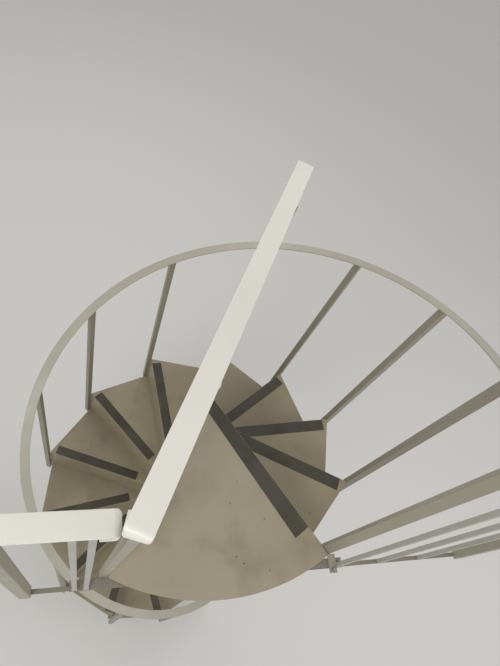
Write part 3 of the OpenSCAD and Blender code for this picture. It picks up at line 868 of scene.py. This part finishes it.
class STAIR_OT_balusters(bpy.types.Operator):
    """Models the balusters and the newel under the winding handrail"""
    bl_idname = "stair.balusters"
    bl_label = "Balusters and newel"

    def execute(self, context):
        s, r = context.scene.stair_flight, context.scene.stair_rails
        fall = rail_fall()
        under = r.handrail_height - r.rail_thick - r.weld_gap
        x = s.step_radius + r.baluster_width / 2 + r.weld_gap
        y = -s.nose_set_back - r.baluster_lap + r.baluster_width / 2
        for k in range(1, STEP_COUNT + 1):
            bm = bmesh.new()
            place = at_step(k) @ Matrix.Translation((x, y, 0))
            foot = max(-RISER - s.step_lip, k * RISER - LANDING_TOP)
            square_bar(bm, r.baluster_width, place, level(place, foot),
                       level(place, under - fall * y, -fall), wall=r.tube_wall)
            weld_ring(bm, r.baluster_width, place, under - fall * y, -fall)
            riser_end = Vector((-r.baluster_width / 2, r.baluster_lap - r.baluster_width / 2, 0))
            for low, high in BALUSTER_WELDS:
                weld(bm, place @ (riser_end - Z * RISER * low),
                     place @ (riser_end - Z * RISER * high), seed=k)
            number = step_number(k)
            finish_piece(f"square_baluster_{number}", bm, "baluster",
                         [f"baluster_{number}"])
        x = s.step_radius + r.post_width / 2 + r.weld_gap
        y = -s.nose_set_back + r.post_width / 2 + r.weld_gap
        bm = bmesh.new()
        place = at_step(0) @ Matrix.Translation((x, y, 0))
        square_bar(bm, r.post_width, place, level(place, -RISER),
                   level(place, under - fall * y, -fall), POST_CORNER, r.post_wall)
        weld_ring(bm, r.post_width, place, under - fall * y, -fall)
        finish_piece("square_newel", bm, "post", ["top_newel"])
        return {"FINISHED"}


class STAIR_OT_handrail(bpy.types.Operator):
    """Sweeps the handrail's flat bar down the helix"""
    bl_idname = "stair.handrail"
    bl_label = "Winding handrail"

    def execute(self, context):
        s, r = context.scene.stair_flight, context.scene.stair_rails
        run = r.handrail_radius * s.step_turn
        slope = math.atan(rail_fall())
        leg_end = (r.curl_leg - r.curl / 2) * math.cos(slope) + r.curl * math.sin(slope)
        first = -r.rail_end / run
        last = STEP_COUNT + (-s.nose_set_back - r.baluster_lap + r.baluster_width + r.weld_gap
                             + leg_end) / run
        turn = (last - first) * s.step_turn
        drop = (last - first) * RISER
        bm = bmesh.new()
        half, thick = r.rail_width / 2, r.rail_thick
        corners = [bm.verts.new((r.handrail_radius + x, 0, z)) for x, z in
                   ((-half, -thick), (half, -thick), (half, 0), (-half, 0))]
        bm.faces.new(corners)
        round_off(bm, corners, r.rail_corner, 2, "VERTICES")
        start = Matrix.Translation((0, 0, LANDING_TOP + r.handrail_height - first * RISER))
        start = start @ Matrix.Rotation(s.nose_angle + first * s.step_turn, 4, "Z")
        bmesh.ops.transform(bm, matrix=start, verts=bm.verts)
        edges = bm.edges[:]
        bmesh.ops.delete(bm, geom=bm.faces[:], context="FACES_ONLY")
        bmesh.ops.spin(bm, geom=bm.verts[:] + edges, cent=Vector(), axis=Z,
                       dvec=Vector((0, 0, -drop / HELIX_STEPS)), angle=turn, steps=HELIX_STEPS,
                       use_merge=False, use_duplicate=False)
        bmesh.ops.holes_fill(bm, edges=[e for e in bm.edges if len(e.link_faces) == 1])
        mark = wear_mark(bm)
        narrow = [f for f in bm.faces if 0 < f.calc_area() < CORNER_AREA and len(f.verts) == 4]
        wear_out(narrow, mark)
        finish_piece("winding_handrail", bm, "handrail",
                     ["handrail_bottom", "handrail_low", "handrail_high", "handrail_top"])
        bm = bmesh.new()
        curled_bar(bm, r.curl / 2 + CURL_LAP, False, True,
                   at_step(last) @ Matrix.Translation((r.handrail_radius, 0, r.handrail_height))
                   @ Matrix.Rotation(math.pi / 2, 4, "Z") @ Matrix.Rotation(slope, 4, "Y")
                   @ Matrix.Translation((-CURL_LAP, 0, 0)))
        finish_piece("handrail_curled_end", bm, "handrail", ["handrail_curl"])
        return {"FINISHED"}


def curled_bar(bm, length_now, near, far, place, near_leg=None, skew=0.0):
    """A flat bar along local X with its top at Z = 0, whose ends curl under and turn back."""
    r = bpy.context.scene.stair_rails
    half, radius = r.rail_width / 2, r.curl / 2
    first = radius if near else 0.0
    last = length_now - (radius if far else 0.0)
    start = bm.edges.new([bm.verts.new((first, y, 0)) for y in (-half, half)])
    if near:
        turned = bend_edge(bm, [start], Vector((first, 0, -radius)), Y, -math.pi, CURL_STEPS)
        run_edge(bm, turned, Vector(((near_leg or r.curl_leg) - radius, 0, 0)))
    ahead = run_edge(bm, [start], Vector((last - first, 0, 0)))
    top = ahead[0].link_faces[0]
    if far:
        turned = bend_edge(bm, ahead, Vector((last, 0, -radius)), Y, math.pi, CURL_STEPS)
        run_edge(bm, turned, Vector((radius - r.curl_leg, 0, 0)))
    for vert in bm.verts:
        # the tips' corners are ground round, and the near leg turns aside as it goes down
        to_tip = min(vert.co.x if near else 1, length_now - vert.co.x if far else 1)
        short = r.tip_round - max(to_tip, 0)
        if short > 0:
            cut = r.tip_round - math.sqrt(r.tip_round ** 2 - short ** 2)
            vert.co.y -= math.copysign(cut, vert.co.y)
        if skew and vert.co.z < 0 and vert.co.x < 2 * r.curl_leg:
            aside = Matrix.Rotation(skew * vert.co.z / -r.curl, 4, "Z")
            vert.co = Matrix.Translation((first, 0, 0)) @ aside @ (vert.co - X * first)
    thicken(bm, r.rail_thick, top, Z)
    soften(bm, RAIL_EDGE, 3)
    bmesh.ops.transform(bm, matrix=place, verts=bm.verts)


class STAIR_OT_landing_guard(bpy.types.Operator):
    """Models the guard along the landing's left side"""
    bl_idname = "stair.landing_guard"
    bl_label = "Landing guard"

    def execute(self, context):
        r = context.scene.stair_rails
        reach = r.guard_reach + r.guard_overhang
        tilt = math.atan2(r.guard_high - r.guard_low, reach)
        rail_place = (at_guard() @ Matrix.Translation((-r.guard_reach, 0, r.guard_high))
                      @ Matrix.Rotation(tilt, 4, "Y"))
        bm = bmesh.new()
        curled_bar(bm, reach / math.cos(tilt), True, True, rail_place, r.near_leg, r.leg_skew)
        finish_piece("landing_guard_flat_bar", bm, "rail", ["landing_guard_rail"])

        def under(place):
            return (r.guard_high - (place + r.guard_reach) * math.tan(tilt)
                    - r.rail_thick / math.cos(tilt) - r.weld_gap)

        bm = bmesh.new()
        first = -r.guard_reach + r.curl_leg + r.bar_width * 2
        bay = -first / (r.guard_bars + 1)
        slope = -math.tan(tilt)
        quarter = Matrix.Rotation(-math.pi / 2, 4, "Z")
        for i in range(1, r.guard_bars + 1):
            reach = first + i * bay
            place = at_guard() @ Matrix.Translation((reach, 0, 0)) @ quarter
            square_bar(bm, r.bar_width, place, level(place, 0),
                       level(place, under(reach), slope), BAR_CORNER)
            weld_ring(bm, r.bar_width, place, under(reach), slope, BAR_WELD)
            weld_ring(bm, r.bar_width, place, 0.0, size=BAR_WELD)
        finish_piece("landing_guard_uprights", bm, "bar", ["landing_guard_bars"])
        bm = bmesh.new()
        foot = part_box("pole_stub_post")[0].z - LANDING_TOP
        place = at_guard() @ Matrix.Translation((0, -r.guard_offset / 2, 0)) @ quarter
        square_bar(bm, r.stub_width, place, level(place, foot), level(place, under(0), slope),
                   wall=r.tube_wall)
        weld_ring(bm, r.stub_width, place, under(0), slope, STUB_WELD)
        weld_ring(bm, r.stub_width, place, foot)
        finish_piece("stub_post_on_pole", bm, "post", ["pole_stub_post"])
        self.corner_post(r, rail_place)
        return {"FINISHED"}

    def corner_post(self, r, rail_place):
        """The post that leans from the landing's corner to the end of the rail."""
        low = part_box("corner_post")[0]
        half = r.stub_width / 2
        bar_edge = FLOOR_BAR_HIGH.y + half + r.weld_gap
        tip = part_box("left_guard_rail")[1].x
        foot = Vector((tip + CORNER_INSET, bar_edge, LANDING_TOP))
        turn = Matrix.Rotation(r.guard_turn, 4, "Z")
        head = turn @ Vector((r.curl_leg / 2 + half / 2 - r.guard_reach, r.guard_offset, 0))
        rise = r.guard_high - r.curl
        lean = (Matrix.Rotation(math.atan2(head.x - foot.x, rise), 4, "Y")
                @ Matrix.Rotation(-math.atan2(head.y - foot.y, rise), 4, "X"))
        under_curl = (rail_place @ Vector((0, 0, -r.curl - r.weld_gap)), rail_place.to_3x3() @ Z)
        bm = bmesh.new()
        place = Matrix.Translation(foot) @ lean
        square_bar(bm, r.stub_width, place, (Vector((0, 0, low.z)), Z), under_curl,
                   wall=r.post_wall)
        point, normal = under_curl
        weld_ring(bm, r.stub_width, place,
                  (point - foot).dot(normal) / (lean @ Z).dot(normal), size=CORNER_WELD)
        finish_piece("leaning_corner_post", bm, "post", ["corner_post"])


class STAIR_OT_side_guards(bpy.types.Operator):
    """Models the guards, bars and lug along the floor's edge"""
    bl_idname = "stair.side_guards"
    bl_label = "Side guards"

    def execute(self, context):
        r = context.scene.stair_rails
        first_bar = r.curl_leg + r.bar_width / 2 + r.weld_gap
        for side, near, far in (("left", False, True), ("right", True, False)):
            low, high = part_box(f"{side}_guard_rail")
            middle = (low.y + high.y) / 2
            bm = bmesh.new()
            curled_bar(bm, high.x - low.x, near, far,
                       Matrix.Translation((low.x, middle, high.z)))
            finish_piece(f"{side}_guard_flat_bar", bm, "rail",
                         [f"{side}_guard_rail"])
        low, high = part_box("end_posts")
        bm = bmesh.new()
        for x in (low.x + r.post_width / 2, high.x - r.post_width / 2):
            place = Matrix.Translation((x, middle, 0))
            square_bar(bm, r.post_width, place, level(place, low.z), level(place, high.z),
                       POST_CORNER, r.post_wall)
            weld_ring(bm, r.post_width, place, high.z)
        finish_piece("guard_end_posts", bm, "post", ["end_posts"])
        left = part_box("left_guard_rail")[1].x - first_bar
        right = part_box("right_guard_rail")[0].x + first_bar
        low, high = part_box("side_guard_bars")
        bm = bmesh.new()
        pair = [left, left - r.pair_pitch]
        for x in pair + [right + i * r.bar_pitch for i in range(3)]:
            place = Matrix.Translation((x, middle, 0))
            square_bar(bm, r.bar_width, place, level(place, low.z), level(place, high.z),
                       BAR_CORNER)
            weld_ring(bm, r.bar_width, place, high.z, size=BAR_WELD)
            weld_ring(bm, r.bar_width, place, low.z, size=BAR_WELD)
        finish_piece("side_guard_uprights", bm, "bar", ["side_guard_bars"])
        self.floor_bars(r)
        self.lug(r, right - r.bar_width / 2 - r.weld_gap)
        return {"FINISHED"}

    def floor_bars(self, r):
        """The flat bars along the floor's edge and the screws of the wide one."""
        low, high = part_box("foot_bars")
        outer = ((low.x, FLOOR_BAR_LOW.x - r.weld_gap), (FLOOR_BAR_HIGH.x + r.weld_gap, high.x))
        for name, node, spans, back in (
                ("flat_floor_bar", "floor_bar", ((FLOOR_BAR_LOW.x, FLOOR_BAR_HIGH.x),),
                 FLOOR_BAR_HIGH.y),
                ("narrow_foot_bars", "foot_bars", outer, high.y)):
            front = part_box(node)[0].y
            bm = bmesh.new()
            for start, end in spans:
                prism(bm, ((start, front), (end, front), (end, back), (start, back)), Matrix(),
                      FLOOR_BAR_LOW.z, FLOOR_BAR_HIGH.z)
            soften(bm)
            finish_piece(name, bm, "floor_bar", [node])
        middle = (FLOOR_BAR_HIGH + FLOOR_BAR_LOW) / 2
        bm = bmesh.new()
        ends = (FLOOR_BAR_LOW.x + SCREW_MARGIN, FLOOR_BAR_HIGH.x - SCREW_MARGIN)
        for x in (ends[0], *INNER_SCREWS, ends[1]):
            screw(bm, Vector((x, (middle.y + FLOOR_BAR_HIGH.y) / 2, FLOOR_BAR_HIGH.z)))
        finish_piece("floor_bar_screws", bm, "zinc")

    def lug(self, r, right):
        """The lug that fixes the newel to the floor, and its bolt."""
        low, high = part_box("newel_lug")
        radius = bpy.context.scene.stair_flight.landing_radius + r.weld_gap
        bm = bmesh.new()
        outline = ((low.x, low.y), (right, low.y), (right, high.y),
                   (math.sqrt(radius ** 2 - high.y ** 2), high.y),
                   (low.x, -math.sqrt(radius ** 2 - low.x ** 2)))
        prism(bm, outline, Matrix(), low.z, high.z)
        soften(bm)
        weld(bm, Vector((low.x + LUG_WELD_INSET, outline[4][1], LANDING_TOP)),
             Vector((outline[3][0], high.y, LANDING_TOP)))
        finish_piece("newel_floor_lug", bm, "post", ["newel_lug"])
        bm = bmesh.new()
        f = bpy.context.scene.stair_foot
        middle = Vector(((low.x + right) / 2, low.y + f.lug_margin, high.z))
        bolt(bm, Matrix.Translation(middle), f.lug_bolt, f.lug_stud)
        finish_piece("lug_bolt", bm, "zinc")


# Name, place, aim, size and power of each lamp
LAMPS = (
    ("key", (-2.6, -3.2, 6.6), (0, 0, 2.4), 2.2, 120.0),
    ("fill", (4.2, -2.0, 4.6), (0, 0, 1.8), 3.0, 60.0),
    ("back", (-1.0, 4.6, 5.2), (0, 0, 1.6), 3.0, 50.0),
)


class STAIR_OT_stage(bpy.types.Operator):
    """Sets the plain floor, the lamps and the camera"""
    bl_idname = "stair.stage"
    bl_label = "Stage and camera"

    def execute(self, context):
        g, f = context.scene.stair_stage, context.scene.stair_finish
        bm = bmesh.new()
        bmesh.ops.create_grid(bm, x_segments=1, y_segments=1, size=g.floor_size / 2,
                              matrix=Matrix.Translation((0, 0, -g.floor_drop)))
        mesh = bpy.data.meshes.new("studio_floor")
        bm.to_mesh(mesh)
        bm.free()
        floor = bpy.data.objects.new("studio_floor", mesh)
        context.scene.collection.objects.link(floor)
        s = Shader("studio_floor")
        s.surface.inputs["Base Color"].default_value = rgba(f.floor)
        s.surface.inputs["Roughness"].default_value = 0.9
        mesh.materials.append(s.material)

        world = bpy.data.worlds.new("studio")
        world.use_nodes = True
        context.scene.world = world
        tree = world.node_tree
        tree.nodes.clear()
        path = tree.nodes.new("ShaderNodeLightPath")
        seen = tree.nodes.new("ShaderNodeMath")
        seen.operation = "MAXIMUM"
        tree.links.new(path.outputs["Is Camera Ray"], seen.inputs[0])
        tree.links.new(path.outputs["Is Glossy Ray"], seen.inputs[1])
        strength = tree.nodes.new("ShaderNodeMapRange")
        strength.inputs["To Min"].default_value = g.world_light
        strength.inputs["To Max"].default_value = 1.0
        tree.links.new(seen.outputs[0], strength.inputs["Value"])
        light = tree.nodes.new("ShaderNodeBackground")
        light.inputs["Color"].default_value = (1.0, 0.99, 0.97, 1)
        tree.links.new(strength.outputs["Result"], light.inputs["Strength"])
        out = tree.nodes.new("ShaderNodeOutputWorld")
        tree.links.new(light.outputs["Background"], out.inputs["Surface"])

        for name, place, aim, size, power in LAMPS:
            lamp = bpy.data.lights.new(name, "AREA")
            lamp.size = size
            lamp.energy = power
            lamp_object = bpy.data.objects.new(name, lamp)
            lamp_object.location = place
            aim_way = Vector(aim) - Vector(place)
            lamp_object.rotation_euler = aim_way.to_track_quat("-Z", "Y").to_euler()
            context.scene.collection.objects.link(lamp_object)

        look = Vector(g.camera_look).normalized()
        right = Vector(g.camera_right)
        right = (right - look * right.dot(look)).normalized()
        up = right.cross(look)
        camera = bpy.data.cameras.new("camera")
        camera.sensor_fit = "VERTICAL"
        camera.sensor_width = 36.0
        camera.sensor_height = 36.0
        camera.lens = g.camera_lens
        camera.clip_end = 100.0
        camera_object = bpy.data.objects.new("camera", camera)
        context.scene.collection.objects.link(camera_object)
        turn = Matrix((right, up, -look)).transposed().to_4x4()
        camera_object.matrix_world = Matrix.Translation(g.camera_place) @ turn
        context.scene.camera = camera_object
        context.scene.view_settings.view_transform = "Standard"
        return {"FINISHED"}


class STAIR_PT_panel(bpy.types.Panel):
    """Lists the staircase's operators and values"""
    bl_idname = "STAIR_PT_panel"
    bl_label = "Spiral staircase"
    bl_space_type = "VIEW_3D"
    bl_region_type = "UI"
    bl_category = "Stair"

    def draw(self, context):
        for operator in OPERATORS:
            self.layout.operator(operator.bl_idname)
        for name in GROUPS:
            group = getattr(context.scene, name)
            box = self.layout.box()
            for key in group.__annotations__:
                box.prop(group, key)


OPERATORS = (STAIR_OT_stage, STAIR_OT_pole, STAIR_OT_steps, STAIR_OT_landing, STAIR_OT_tapes,
             STAIR_OT_balusters, STAIR_OT_handrail, STAIR_OT_landing_guard,
             STAIR_OT_side_guards)
GROUPS = {"stair_flight": StairFlightSizes, "stair_rails": StairRailSizes,
          "stair_foot": StairFootSizes, "stair_finish": StairFinish, "stair_stage": StairStage}


def register():
    for group in GROUPS.values():
        bpy.utils.register_class(group)
    for operator in OPERATORS:
        bpy.utils.register_class(operator)
    bpy.utils.register_class(STAIR_PT_panel)
    for name, group in GROUPS.items():
        setattr(bpy.types.Scene, name, PointerProperty(type=group))


def unregister():
    for name in GROUPS:
        delattr(bpy.types.Scene, name)
    bpy.utils.unregister_class(STAIR_PT_panel)
    for operator in reversed(OPERATORS):
        bpy.utils.unregister_class(operator)
    for group in reversed(list(GROUPS.values())):
        bpy.utils.unregister_class(group)


def main():
    """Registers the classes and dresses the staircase."""
    register()
    bpy.ops.stair.stage()
    bpy.ops.stair.pole()
    bpy.ops.stair.steps()
    bpy.ops.stair.landing()
    bpy.ops.stair.tapes()
    bpy.ops.stair.balusters()
    bpy.ops.stair.handrail()
    bpy.ops.stair.landing_guard()
    bpy.ops.stair.side_guards()


if __name__ == "__main__":
    main()
